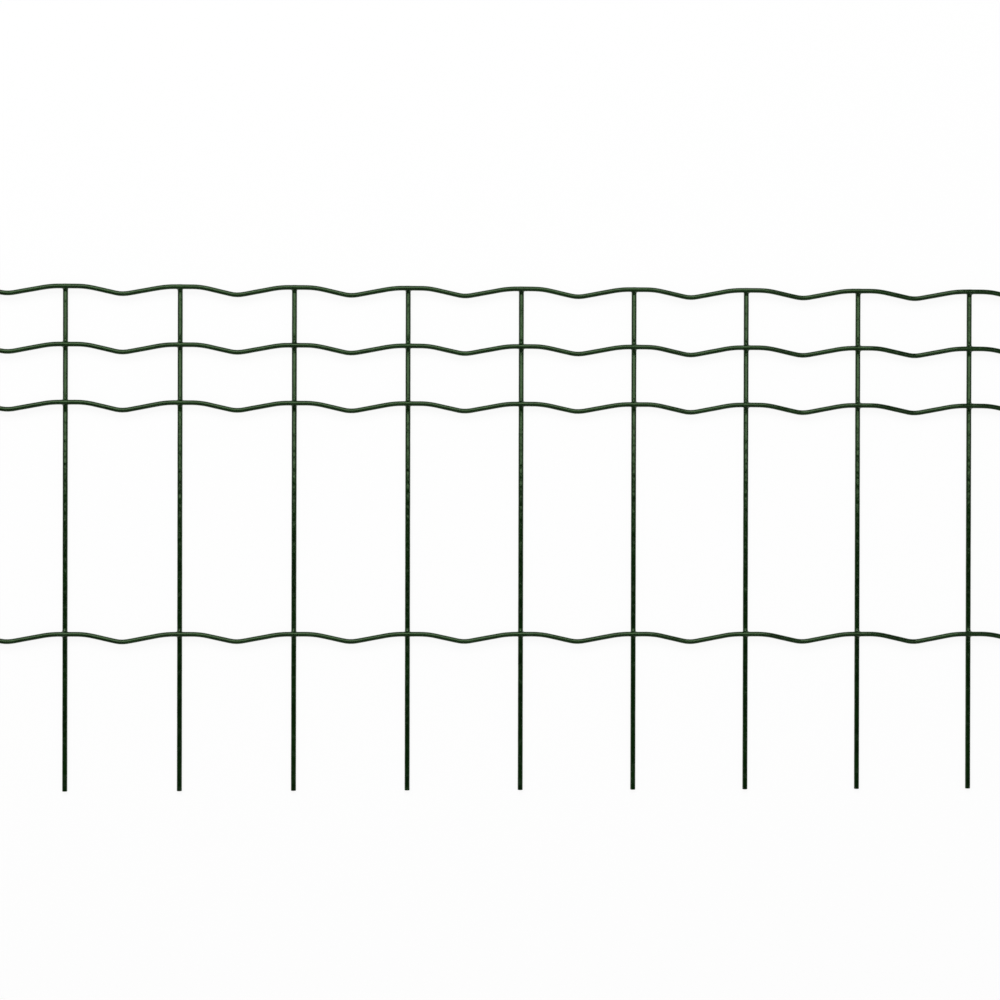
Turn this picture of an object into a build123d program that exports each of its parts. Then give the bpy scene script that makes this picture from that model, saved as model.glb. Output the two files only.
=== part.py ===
from build123d import *
from math import atan2, tan
import os

# Welded wire fencing laid flat, all sizes in millimetres
# Line wires run along X and lie on the cross wires, which run along Y

# Wires, measured over their plastic coat
line_diameter = 2.1
cross_diameter = 2.2
wire_sides = 8

# Cross wires
cross_count = 20
cross_pitch = 50.0
prong_length = 69.0       # left free past the last line wire
top_cover = 0.3           # end past the middle of the first line wire

# Line wires
close_row_gap = 25.4      # between the first three
wide_row_gap = 101.6      # down to the fourth
end_overhang = cross_pitch / 2
weld_depth = 0.4          # how far a weld sinks one wire into the other

# Crimp, a shallow dip halfway between two cross wires, leaning a little
crimp_depth = 3.3
straight_before = 6.0     # up to a weld
straight_after = 9.0      # on from a weld
crest_bend = 3.0          # reach of a bend to each side of its corner
dip_bend = 1.3
dip_level = 0.4           # left level between the two bends of a dip

# Placement, with the sheet centred on the origin and resting on Z = 0
row_drops = [0, close_row_gap, 2 * close_row_gap, 2 * close_row_gap + wide_row_gap]
sheet_width = line_diameter / 2 + row_drops[-1] + prong_length
first_row_y = sheet_width / 2 - line_diameter / 2
line_z = cross_diameter - weld_depth + line_diameter / 2
cross_xs = [(i - (cross_count - 1) / 2) * cross_pitch for i in range(cross_count)]
half_length = cross_xs[-1] + end_overhang
dip_start = cross_pitch / 2 - dip_bend - dip_level / 2
run_before = dip_start - straight_before
run_after = dip_start - straight_after


def wire_section(plane, diameter):
    # Even-sided outline with a flat facing up and a flat facing down
    outline = RegularPolygon(diameter / 2, wire_sides, major_radius=False,
                             rotation=180 / wire_sides)
    return plane * outline


def bend_radius(reach, run):
    # Radius of a bend between a level stretch and a flank of that run
    return reach / tan(atan2(crimp_depth, run) / 2)


def crimp_path():
    # Middle line of one line wire, where each bend's arc is one straight step
    corners = [(-half_length, -crimp_depth)]
    for x in cross_xs:
        corners.append((x - dip_start, -crimp_depth))
        corners.append((x - straight_before, 0))
        corners.append((x + straight_after, 0))
        corners.append((x + dip_start, -crimp_depth))
    corners.append((half_length, -crimp_depth))
    bends = [
        bend_radius(dip_bend, run_before),
        bend_radius(crest_bend, run_before),
        bend_radius(crest_bend, run_after),
        bend_radius(dip_bend, run_after),
    ]
    rounded = FilletPolyline(*corners, radius=bends * cross_count)
    steps = sorted(tuple(vertex) for vertex in rounded.vertices())
    return Wire(Polyline(*steps).edges())


def line_wire():
    path = crimp_path()
    start = Plane(origin=path @ 0, x_dir=(0, 0, 1), z_dir=path % 0)
    section = wire_section(start, line_diameter)
    return sweep(section, path=path, transition=Transition.RIGHT)


def cross_wire():
    start = Plane(origin=(0, -sheet_width / 2, cross_diameter / 2),
                  x_dir=(1, 0, 0), z_dir=(0, 1, 0))
    length = prong_length + row_drops[-1] + top_cover
    return extrude(wire_section(start, cross_diameter), amount=length)


def welded_mesh():
    line = line_wire()
    lines = [Pos(0, first_row_y - drop, line_z) * line for drop in row_drops]
    cross = cross_wire()
    crosses = [Pos(x, 0, 0) * cross for x in cross_xs]
    return lines[0].fuse(*lines[1:], *crosses)


os.makedirs("parts", exist_ok=True)
export_step(welded_mesh(), "parts/welded_mesh.step")
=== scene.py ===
# Welded wire fencing, one metre lying flat: crimped line wires on straight cross wires
import math
import bpy
import numpy as np
from mathutils import Euler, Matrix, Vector


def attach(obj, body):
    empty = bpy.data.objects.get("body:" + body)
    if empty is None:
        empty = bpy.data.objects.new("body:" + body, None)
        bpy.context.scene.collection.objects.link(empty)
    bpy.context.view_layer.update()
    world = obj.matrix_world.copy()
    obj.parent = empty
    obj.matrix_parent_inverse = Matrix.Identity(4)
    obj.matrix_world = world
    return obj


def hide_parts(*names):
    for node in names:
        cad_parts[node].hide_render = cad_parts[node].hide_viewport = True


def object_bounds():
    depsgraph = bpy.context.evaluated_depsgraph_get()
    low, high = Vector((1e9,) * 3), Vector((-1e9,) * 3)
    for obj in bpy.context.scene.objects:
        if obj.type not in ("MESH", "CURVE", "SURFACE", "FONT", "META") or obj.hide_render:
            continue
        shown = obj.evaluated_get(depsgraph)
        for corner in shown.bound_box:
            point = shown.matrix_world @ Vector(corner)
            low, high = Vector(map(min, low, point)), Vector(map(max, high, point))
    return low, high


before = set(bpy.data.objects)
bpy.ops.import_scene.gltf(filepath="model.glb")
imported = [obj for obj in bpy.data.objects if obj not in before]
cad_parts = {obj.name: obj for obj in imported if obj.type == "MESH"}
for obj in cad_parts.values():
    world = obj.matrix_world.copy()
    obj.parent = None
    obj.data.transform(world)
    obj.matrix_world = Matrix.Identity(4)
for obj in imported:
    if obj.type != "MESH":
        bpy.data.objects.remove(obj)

mm = 0.001
seed = 11                    # of everything that varies from wire to wire
cadLow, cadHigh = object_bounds()  # the CAD box, before anything is dressed
random = np.random.default_rng(seed)
print("stage: frame loaded")

# The sheet as the CAD has it, in mm, with its box read from the frame. The skins are laid on
# its wires, as round wires of the same section as the CAD's eight-sided ones.
fence = {
    "crossPitch": 50.0,
    "rowDrops": (0.0, 25.4, 50.8, 152.4),   # from the first line wire down to each
    "lineDiameter": 2.1,     # over the coat
    "crossDiameter": 2.2,
    "wireSides": 8,
    "weldDepth": 0.4,        # how far a weld sinks one wire into the other
    "topCover": 0.3,         # of a cross wire past the middle of the first line wire
    "coatThickness": 0.175,
}
halfLength, sheetTop = np.array(cadHigh[:2]) / mm
prongEnd = cadLow[1] / mm    # Y of the free tips
crossCount = round(2 * halfLength / fence["crossPitch"])
crossX = (np.arange(crossCount) - (crossCount - 1) / 2) * fence["crossPitch"]
rowY = sheetTop - fence["lineDiameter"] / 2 - np.array(fence["rowDrops"])
rowCount = len(rowY)
crossTop = rowY[0] + fence["topCover"]
crossHeight = fence["crossDiameter"] / 2     # Z of a cross wire's middle
lineHeight = fence["crossDiameter"] - fence["weldDepth"] + fence["lineDiameter"] / 2
# A circle is as large as the polygon round it when its radius grows by sqrt(n tan(pi / n) / pi)
rounding = math.sqrt(fence["wireSides"] * math.tan(math.pi / fence["wireSides"]) / math.pi)
lineRadius = fence["lineDiameter"] / 2 * rounding
crossRadius = fence["crossDiameter"] / 2 * rounding


def linearColour(hexText):
    # sRGB to linear: divide by 12.92 near black, else the 2.4 power curve
    parts = [int(hexText[i:i + 2], 16) / 255 for i in (1, 3, 5)]
    return [c / 12.92 if c <= 0.04045 else ((c + 0.055) / 1.055) ** 2.4 for c in parts] + [1]


def addNode(tree, kind, settings=(), links=()):
    # One node with its settings, which are sockets or properties, and its links
    node = tree.nodes.new("ShaderNode" + kind)
    for key, value in dict(settings).items():
        if isinstance(key, int) or key in node.inputs:
            node.inputs[key].default_value = value
        else:
            setattr(node, key, value)
    for key, source in dict(links).items():
        tree.links.new(source, node.inputs[key])
    return node


def startMaterial(name):
    # An empty node material
    material = bpy.data.materials.new(name)
    material.use_nodes = True
    material.node_tree.nodes.clear()
    return material, material.node_tree


# Soft PVC, dip-coated over the welded steel mesh. It gives a very dark bottle green with a
# wet gloss, a few shallow runs that bend the highlights, and dull patches of pale bloom.
coat = {
    "ior": 1.5,
    "greens": ("#051704", "#0a2307"),
    "greenSpan": (0.35, 0.68),     # noise at which the deeper green ends and the paler is full
    "mottle": 7.0,           # mm, patches of deeper and paler green
    "gloss": (0.09, 0.15),   # roughness, up and down with the grain
    "glossTint": "#ccffbc",  # of the gloss, seen through the clear skin of the plastic
    "bloom": "#5f7a5e",
    "bloomSize": 2.6,        # mm, dull patches
    "bloomSpread": (0.5, 0.75),    # noise at which a patch starts and is full
    "bloomShare": 0.07,      # of the bloom's colour in a patch
    "bloomDulls": 0.14,      # roughness added in a patch
    "grainAcross": 0.35,     # mm, drawn lines, coarser than real so that they show
    "grainAlong": 9.0,
    "peel": 0.5,             # mm, orange peel of the set plastic
    "peelHeight": 0.006,
    "wave": 3.5,             # mm, runs and thin places of the dip
    "waveHeight": 0.1,
}


def pvcCoat(name, runsAlong):
    # runsAlong is the axis of the wires, 0 for X and 1 for Y
    material, tree = startMaterial(name)
    place = addNode(tree, "TexCoord").outputs["Object"]

    def noise(size, detail, vector=place):
        # Noise of one size, in the units of its vector
        settings = {"Scale": 1 / size, "Detail": detail}
        return addNode(tree, "TexNoise", settings, {"Vector": vector}).outputs["Fac"]

    greens = addNode(tree, "ValToRGB", links={"Fac": noise(coat["mottle"] * mm, detail=3.0)})
    for stop, at, green in zip(greens.color_ramp.elements, coat["greenSpan"], coat["greens"]):
        stop.position = at
        stop.color = linearColour(green)
    stretch = [1 / (coat["grainAcross"] * mm)] * 3
    stretch[runsAlong] = 1 / (coat["grainAlong"] * mm)
    drawn = addNode(tree, "Mapping", {"Scale": stretch}, {"Vector": place})
    grain = noise(1.0, detail=2.0, vector=drawn.outputs[0])
    bloomStart, bloomFull = coat["bloomSpread"]
    bloomed = addNode(tree, "MapRange", {"From Min": bloomStart, "From Max": bloomFull},
                      {"Value": noise(coat["bloomSize"] * mm, detail=3.0)})
    tinted = addNode(tree, "Math", {"operation": "MULTIPLY", 1: coat["bloomShare"]},
                     {0: bloomed.outputs[0]})
    colour = addNode(tree, "Mix", {"data_type": "RGBA", 7: linearColour(coat["bloom"])},
                     {0: tinted.outputs[0], 6: greens.outputs[0]})
    glossiest, dullest = coat["gloss"]
    glossy = addNode(tree, "MapRange", {"To Min": glossiest, "To Max": dullest}, {"Value": grain})
    rough = addNode(tree, "Math", {"operation": "MULTIPLY_ADD", 1: coat["bloomDulls"]},
                    {0: bloomed.outputs[0], 2: glossy.outputs[0]})
    fine = addNode(tree, "Math", {"operation": "ADD"},
                   {0: noise(coat["peel"] * mm, detail=2.0), 1: grain})
    waveShare = coat["waveHeight"] / coat["peelHeight"]
    relief = addNode(tree, "Math", {"operation": "MULTIPLY_ADD", 1: waveShare},
                     {0: noise(coat["wave"] * mm, detail=1.0), 2: fine.outputs[0]})
    bump = addNode(tree, "Bump", {"Strength": 1.0, "Distance": coat["peelHeight"] * mm},
                   {"Height": relief.outputs[0]})
    shader = addNode(tree, "BsdfPrincipled",
                     {"IOR": coat["ior"], "Specular Tint": linearColour(coat["glossTint"])},
                     {"Base Color": colour.outputs[2], "Roughness": rough.outputs[0],
                      "Normal": bump.outputs[0]})
    addNode(tree, "OutputMaterial", links={"Surface": shader.outputs[0]})
    return material


# Low-carbon steel, drawn, galvanised and sheared off. The cut is dull grey and torn,
# with a brighter zinc tone in patches.
steel = {
    "tones": ("#6e706f", "#b4b8b8"),     # torn steel and zinc
    "toneSpan": (0.4, 0.65),     # noise at which the torn steel ends and the zinc is full
    "roughness": 0.45,
    "tear": 0.12,            # mm, width of the torn ridges
    "tearHeight": 0.03,
    "tearStrength": 0.6,     # share of that height that shades
}


def shearedSteel():
    # One noise for tone and ridges alike
    material, tree = startMaterial("galvanisedSteelSheared")
    place = addNode(tree, "TexCoord").outputs["Object"]
    ridges = addNode(tree, "TexNoise", {"Scale": 1 / (steel["tear"] * mm), "Detail": 3.0},
                     {"Vector": place}).outputs["Fac"]
    tone = addNode(tree, "ValToRGB", links={"Fac": ridges})
    for stop, at, grey in zip(tone.color_ramp.elements, steel["toneSpan"], steel["tones"]):
        stop.position = at
        stop.color = linearColour(grey)
    bump = addNode(tree, "Bump", {"Strength": steel["tearStrength"], "Distance": steel["tearHeight"] * mm},
                   {"Height": ridges})
    shader = addNode(tree, "BsdfPrincipled", {"Metallic": 1.0, "Roughness": steel["roughness"]},
                     {"Base Color": tone.outputs[0], "Normal": bump.outputs[0]})
    addNode(tree, "OutputMaterial", links={"Surface": shader.outputs[0]})
    return material


def roundAngles(sides):
    # Even angles once round a wire, from its side
    return np.linspace(0, 2 * np.pi, sides, endpoint=False)


def wireSkin(middle, side, radius):
    # Point(s, a) = middle(s) + radius(s, a) * (cos a * side(s) + sin a * up), a once round.
    # middle and side are (wire, station, 3), radius is (wire, station, round).
    angle = roundAngles(radius.shape[2])[:, None]
    ring = np.cos(angle) * side[:, :, None, :] + np.sin(angle) * np.array([0.0, 0.0, 1.0])
    return middle[:, :, None, :] + radius[..., None] * ring


def addWires(name, skin, material):
    # Joins each wire's rings to a closed skin, with a fan of triangles over each end
    wires, steps, sides = skin.shape[:3]
    here = np.arange(wires * steps * sides).reshape(wires, steps, sides)
    beside = np.roll(here, -1, axis=2)
    quads = np.stack([here[:, :-1], beside[:, :-1], beside[:, 1:], here[:, 1:]], -1)
    poles = here.size + np.arange(wires * 2).reshape(wires, 2, 1) + np.zeros(sides, int)
    startFan = np.stack([poles[:, 0], beside[:, 0], here[:, 0]], -1)
    endFan = np.stack([poles[:, 1], here[:, -1], beside[:, -1]], -1)
    poleAt = skin[:, [0, -1]].mean(axis=2)
    points = np.concatenate([skin.reshape(-1, 3), poleAt.reshape(-1, 3)]) * mm
    fans = np.concatenate([startFan.reshape(-1, 3), endFan.reshape(-1, 3)])
    mesh = bpy.data.meshes.new(name)
    mesh.from_pydata(points.tolist(), [], quads.reshape(-1, 4).tolist() + fans.tolist())
    mesh.shade_smooth()
    mesh.materials.append(material)
    piece = bpy.data.objects.new(name, mesh)
    bpy.context.scene.collection.objects.link(piece)
    print("stage:", name, len(mesh.polygons), "faces")
    return piece


# How the coat behaves where two wires are welded and at a wire's end, in mm
flow = {
    "blend": 1.5,            # width over which the coat runs from one wire to the other
    "most": 0.5,             # swelling allowed
    "passes": 8,             # of the search for the flowed surface
    "reach": 2.4,            # fine steps to each side of a weld
    "steps": 13,
    "apart": 0.3,            # least gap between the fine steps and the next coarse one
    "uneven": 0.006,         # coat thickness, up and down, for each of the waves below
    "waves": ((37.0, 1), (19.0, 2), (11.0, 1), (6.3, 3)),     # length, and turns round the wire
    "endRound": 0.22,        # edge of a cut end
    "endSteps": (0, 0.1, 0.4, 1.0),     # shares of it
    "endLeast": 0.9,         # of the radius, left at the face of a cut end
}


def smoothMin(a, b, width):
    # The smaller of two distances, rounded off where they are within width of each other
    near = np.maximum(width - np.abs(a - b), 0) / width
    return np.minimum(a, b) - near ** 2 * width / 4


def flowedRadius(middle, side, radius, otherDistance):
    # Walks out along each ray until the rounded-off smaller distance to the two wires is nought
    swollen = radius
    for step in range(flow["passes"]):
        other = otherDistance(wireSkin(middle, side, swollen))
        gap = smoothMin(swollen - radius, other, flow["blend"])
        swollen = np.clip(swollen - gap, radius, radius + flow["most"])
    return swollen


def unevenCoat(wires, along, sides):
    # Sum of waves along and round the wire, each with its own start on each wire
    angle = roundAngles(sides)
    total = np.zeros((wires, len(along), sides))
    for length, turns in flow["waves"]:
        start = random.uniform(0, 2 * np.pi, (wires, 1, 1))
        total += np.sin(2 * np.pi * along[None, :, None] / length + turns * angle + start)
    return total * flow["uneven"]


def stationsAlong(start, end, spacing, welds):
    # Even steps, finer through each weld and at each end
    coarse = np.arange(start, end, spacing)
    toWeld = np.abs(coarse[:, None] - welds).min(axis=1)
    coarse = coarse[toWeld > flow["reach"] + flow["apart"]]
    fine = (welds[:, None] + np.linspace(-flow["reach"], flow["reach"], flow["steps"])).ravel()
    rim = np.array(flow["endSteps"]) * flow["endRound"]
    clear = 1.5 * flow["endRound"]     # kept free beside an end's own steps
    inner = np.concatenate([coarse, fine])
    inner = inner[(inner > start + clear) & (inner < end - clear)]
    return np.sort(np.concatenate([start + rim, inner, end - rim]))


def endScale(along, least):
    # Quarter ellipse from least of the radius at each end face to all of it
    depth = np.minimum(along - along[0], along[-1] - along) / flow["endRound"]
    return least + (1 - least) * np.sqrt(1 - (1 - np.clip(depth, 0, 1)) ** 2)


def coatedWires(name, along, middle, side, wireRadius, sides, otherDistance, material):
    # A round skin with rounded ends, flowed at the welds, and uneven except at the end faces
    plain = (wireRadius * endScale(along, flow["endLeast"]))[None, :, None]
    radius = flowedRadius(middle, side, plain * np.ones((len(middle), 1, sides)), otherDistance)
    radius += unevenCoat(len(middle), along, sides) * (endScale(along, 0) ** 2)[None, :, None]
    return addWires(name, wireSkin(middle, side, radius), material)


def distanceToCross(points):
    # To the nearest cross wire's skin, past its top end the distance to that end
    nearest = np.round((points[..., 0] - crossX[0]) / fence["crossPitch"])
    nearest = np.clip(nearest, 0, crossCount - 1)
    across = points[..., 0] - crossX[0] - nearest * fence["crossPitch"]
    radial = np.hypot(across, points[..., 2] - crossHeight) - crossRadius
    past = points[..., 1] - crossTop
    return np.where(past > 0, np.hypot(np.maximum(radial, 0), past), radial)


def distanceToLine(points):
    # To the nearest line wire's skin, which is level and straight by a weld
    across = points[..., 1, None] - rowY
    return (np.hypot(across, points[..., 2, None] - lineHeight) - lineRadius).min(axis=-1)


# Crimped line wires, in mm
crimp = {
    "depth": 3.3,
    "depthSpread": 0.1,      # from one dip to the next
    "straightBefore": 6.0,   # level up to a weld
    "straightAfter": 9.0,    # and on from it, so the dips lean a little
    "crestBend": 3.8,        # reach of a bend to each side of its corner
    "dipCorner": 1.5,        # from a dip's middle to where its flank would start
    "dipBend": 1.5,
    "spacing": 1.6,
    "sides": 16,
}


def roundedRamp(u, reach):
    # Nought before the corner, u after it, and a parabola within reach of it
    return np.where(u < -reach, 0, np.where(u > reach, u, (u + reach) ** 2 / (4 * reach)))


def crimpedY(x, depths):
    # From the middle of one dip to the next: up a flank, level over the weld, down a flank.
    # The depth changes from one dip's to the next's over the middle half of the way.
    pitch = fence["crossPitch"]
    cell = np.clip(np.floor((x + halfLength) / pitch).astype(int), 0, crossCount - 1)
    u = x + halfLength - cell * pitch
    corner, crestBend, dipBend = crimp["dipCorner"], crimp["crestBend"], crimp["dipBend"]
    crestStart = pitch / 2 - crimp["straightBefore"]
    crestEnd = pitch / 2 + crimp["straightAfter"]
    rise = roundedRamp(u - corner, dipBend) - roundedRamp(u - crestStart, crestBend)
    fall = roundedRamp(u - crestEnd, crestBend) - roundedRamp(u - pitch + corner, dipBend)
    share = rise / (crestStart - corner) - fall / (pitch - corner - crestEnd)
    onward = np.clip(u / pitch * 2 - 0.5, 0, 1)
    deep = depths[:, cell] + (depths[:, cell + 1] - depths[:, cell]) * onward
    return (share - 1) * deep


along = stationsAlong(-halfLength, halfLength, crimp["spacing"], crossX)
depths = crimp["depth"] + random.uniform(-1, 1, (rowCount, crossCount + 1)) * crimp["depthSpread"]
bend = crimpedY(along, depths)
middle = np.stack([np.broadcast_to(along, bend.shape), rowY[:, None] + bend,
                   np.full(bend.shape, lineHeight)], -1)
slope = np.gradient(bend, along, axis=1)
side = np.stack([-slope, np.ones_like(slope), np.zeros_like(slope)], -1)
side /= np.linalg.norm(side, axis=-1, keepdims=True)
lineWires = coatedWires("lineWires", along, middle, side, lineRadius, crimp["sides"],
                        distanceToCross, pvcCoat("pvcCoatAlongLineWires", 0))

# Straight cross wires with free prongs, in mm
cross = {
    "spacing": 3.6,
    "sides": 16,
}
along = stationsAlong(prongEnd, crossTop, cross["spacing"], rowY)
level = np.zeros((crossCount, len(along)))
middle = np.stack([crossX[:, None] + level, along + level, crossHeight + level], -1)
side = np.broadcast_to(np.array([-1.0, 0.0, 0.0]), middle.shape)
crossWires = coatedWires("crossWires", along, middle, side, crossRadius, cross["sides"],
                         distanceToLine, pvcCoat("pvcCoatAlongCrossWires", 1))

# Bare steel where the sheet was cut from the roll and the prongs were cut to length, in mm
stub = {
    "length": 1.2,
    "proud": 0.04,           # how far the steel stands out of the coat
    "edge": 0.6,             # share of that over which the edge is rounded
    "faceShare": 0.9,        # of the radius, left at the face
    "slope": 0.03,           # the shear leaves the face a little sloped
    "slopeTurn": 6.0,        # radians, over which the way that the face slopes varies
    "sides": 12,
}


def steelStubs(ends, heading, sideways, inwards, radius):
    # Short round bars just inside a cut end, each with a rounded, slightly sloped face.
    # They run along heading, which leads into the wire where inwards is 1 and out where it is -1.
    depth = np.array([-stub["proud"], -stub["proud"] * stub["edge"], 0.0, stub["length"] / 2, stub["length"]])
    scale = np.array([stub["faceShare"], 1.0, 1.0, 1.0, 1.0])
    face = 0
    if inwards < 0:
        depth = -depth[::-1]
        scale = scale[::-1]
        face = -1
    middle = ends[:, None, :] + depth[None, :, None] * heading
    side = np.broadcast_to(sideways, middle.shape)
    radii = (radius * scale)[None, :, None] * np.ones((len(ends), 1, stub["sides"]))
    skin = wireSkin(middle, side, radii)
    turned = random.uniform(0, stub["slopeTurn"], (len(ends), 1))
    tilt = np.cos(roundAngles(stub["sides"]) + turned)
    skin[:, face] += stub["slope"] * tilt[..., None] * heading
    return skin


xAxis = np.array([1.0, 0.0, 0.0])
yAxis = np.array([0.0, 1.0, 0.0])
rowLevel = np.full(rowCount, lineHeight)
leftEnds = np.stack([np.full(rowCount, -halfLength), rowY - depths[:, 0], rowLevel], -1)
rightEnds = np.stack([np.full(rowCount, halfLength), rowY - depths[:, -1], rowLevel], -1)
prongTips = np.stack([crossX, np.full(crossCount, prongEnd), np.full(crossCount, crossHeight)], -1)
lineCore = lineRadius - fence["coatThickness"]
crossCore = crossRadius - fence["coatThickness"]
stubs = np.concatenate([
    steelStubs(leftEnds, xAxis, yAxis, 1, lineCore),
    steelStubs(rightEnds, xAxis, yAxis, -1, lineCore),
    steelStubs(prongTips, yAxis, -xAxis, 1, crossCore),
])
steelEnds = addWires("steelEnds", stubs, shearedSteel())

for piece in (lineWires, crossWires, steelEnds):
    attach(piece, "root")
    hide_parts("welded_mesh")

# White studio: a paper floor that keeps the shadow, a pale backdrop round the horizon and
# a dim ceiling, so that the tops of the wires stay dark beside the softboxes
studio = {
    "floorReach": 4.0,       # m
    "floorDrop": 0.00006,    # m, below the wires
    "paper": "#f4f4f4",
    "whitened": 0.9,         # share of plain white seen in the floor
    "fill": 0.36,            # strength of the room's diffuse light
    "ceiling": 0.03,         # strength of the ceiling in reflections
    "backdropTop": (0.02, 0.2),     # height of a ray where the backdrop starts to fade and ends
}


def raysSeen(tree):
    # 1 or 0 for camera rays, and for glossy and transmission rays together
    rays = addNode(tree, "LightPath").outputs
    mirrored = addNode(tree, "Math", {"operation": "MAXIMUM"},
                       {0: rays["Is Glossy Ray"], 1: rays["Is Transmission Ray"]})
    return rays["Is Camera Ray"], mirrored.outputs[0]


def whiteFloor():
    # Matt paper, mixed with plain white for every ray that sees it
    reach = studio["floorReach"]
    corners = [(x * reach, y * reach, -studio["floorDrop"]) for x, y in ((-1, -1), (1, -1), (1, 1), (-1, 1))]
    mesh = bpy.data.meshes.new("paperFloor")
    mesh.from_pydata(corners, [], [(0, 1, 2, 3)])
    plane = bpy.data.objects.new("paperFloor", mesh)
    bpy.context.scene.collection.objects.link(plane)
    material, tree = startMaterial("mattWhitePaper")
    direct, mirrored = raysSeen(tree)
    seen = addNode(tree, "Math", {"operation": "MAXIMUM"}, {0: direct, 1: mirrored})
    share = addNode(tree, "Math", {"operation": "MULTIPLY", 1: studio["whitened"]}, {0: seen.outputs[0]})
    matt = addNode(tree, "BsdfDiffuse", {"Color": linearColour(studio["paper"])})
    white = addNode(tree, "Emission", {"Strength": 1.0})
    mixed = addNode(tree, "MixShader", links={0: share.outputs[0], 1: matt.outputs[0], 2: white.outputs[0]})
    addNode(tree, "OutputMaterial", links={"Surface": mixed.outputs[0]})
    mesh.materials.append(material)


def studioRoom():
    # Strength is 1 for the camera, the fill for diffuse light, and in reflections it falls
    # with a ray's height from 1 at the backdrop to the ceiling's
    world = bpy.data.worlds.new("studioRoom")
    bpy.context.scene.world = world
    world.use_nodes = True
    tree = world.node_tree
    tree.nodes.clear()
    direct, mirrored = raysSeen(tree)
    ray = addNode(tree, "SeparateXYZ", links={0: addNode(tree, "TexCoord").outputs["Generated"]})
    fadeStart, fadeEnd = studio["backdropTop"]
    backdrop = addNode(tree, "MapRange", {"From Min": fadeStart, "From Max": fadeEnd,
                                          "To Min": 1.0, "To Max": studio["ceiling"]},
                       {"Value": ray.outputs["Z"]})
    indirect = addNode(tree, "Mix", {"data_type": "FLOAT", 2: studio["fill"]},
                       {0: mirrored, 3: backdrop.outputs[0]})
    strength = addNode(tree, "Mix", {"data_type": "FLOAT", 3: 1.0}, {0: direct, 2: indirect.outputs[0]})
    sky = addNode(tree, "Background", links={"Strength": strength.outputs[0]})
    addNode(tree, "OutputWorld", links={"Surface": sky.outputs[0]})


# Softboxes beyond both long edges, overhead and at the sides, with places and sizes in m
softboxes = {
    "farEdge": {"at": (-0.2, 1.15, 1.3), "size": (1.6, 1.0), "power": 20.5},
    "nearEdge": {"at": (0.2, -1.15, 1.3), "size": (1.6, 1.0), "power": 2.0},
    "overhead": {"at": (0.0, 0.15, 1.25), "size": (2.6, 0.2), "power": 4.8},
    "leftSide": {"at": (-1.4, 0.5, 1.0), "size": (0.5, 1.4), "power": 2.0},
    "rightSide": {"at": (1.4, 0.5, 1.0), "size": (0.5, 1.4), "power": 2.0},
}


def softbox(name, at, size, power):
    # A lamp that looks at the middle of the sheet and is not seen itself
    lamp = bpy.data.lights.new(name, "AREA")
    lamp.shape = "RECTANGLE"
    lamp.size, lamp.size_y = size
    lamp.energy = power
    lampObject = bpy.data.objects.new(name, lamp)
    lampObject.location = at
    lampObject.rotation_euler = (-Vector(at)).to_track_quat("-Z", "Y").to_euler()
    lampObject.visible_camera = False
    bpy.context.scene.collection.objects.link(lampObject)


whiteFloor()
studioRoom()
for name, each in softboxes.items():
    softbox(name, each["at"], each["size"], each["power"])
print("stage: floor, room and softboxes")

# Camera straight above a stretch left of the middle, as the photograph crops it
camera = {
    "aim": (0.0158, 0.01698, 0.0),   # m, point at the middle of the picture
    "distance": 1.0,         # m
    "lens": 81.35,           # mm
    "tilt": (-0.26, -2.56, 0.143),   # degrees off straight down
}
cameraData = bpy.data.cameras.new("camera")
cameraData.lens = camera["lens"]
cameraObject = bpy.data.objects.new("camera", cameraData)
turn = Euler([math.radians(v) for v in camera["tilt"]])
cameraObject.rotation_euler = turn
cameraObject.location = Vector(camera["aim"]) + turn.to_matrix() @ Vector((0, 0, camera["distance"]))
bpy.context.scene.collection.objects.link(cameraObject)
bpy.context.scene.camera = cameraObject
bpy.context.scene.view_settings.view_transform = "Standard"
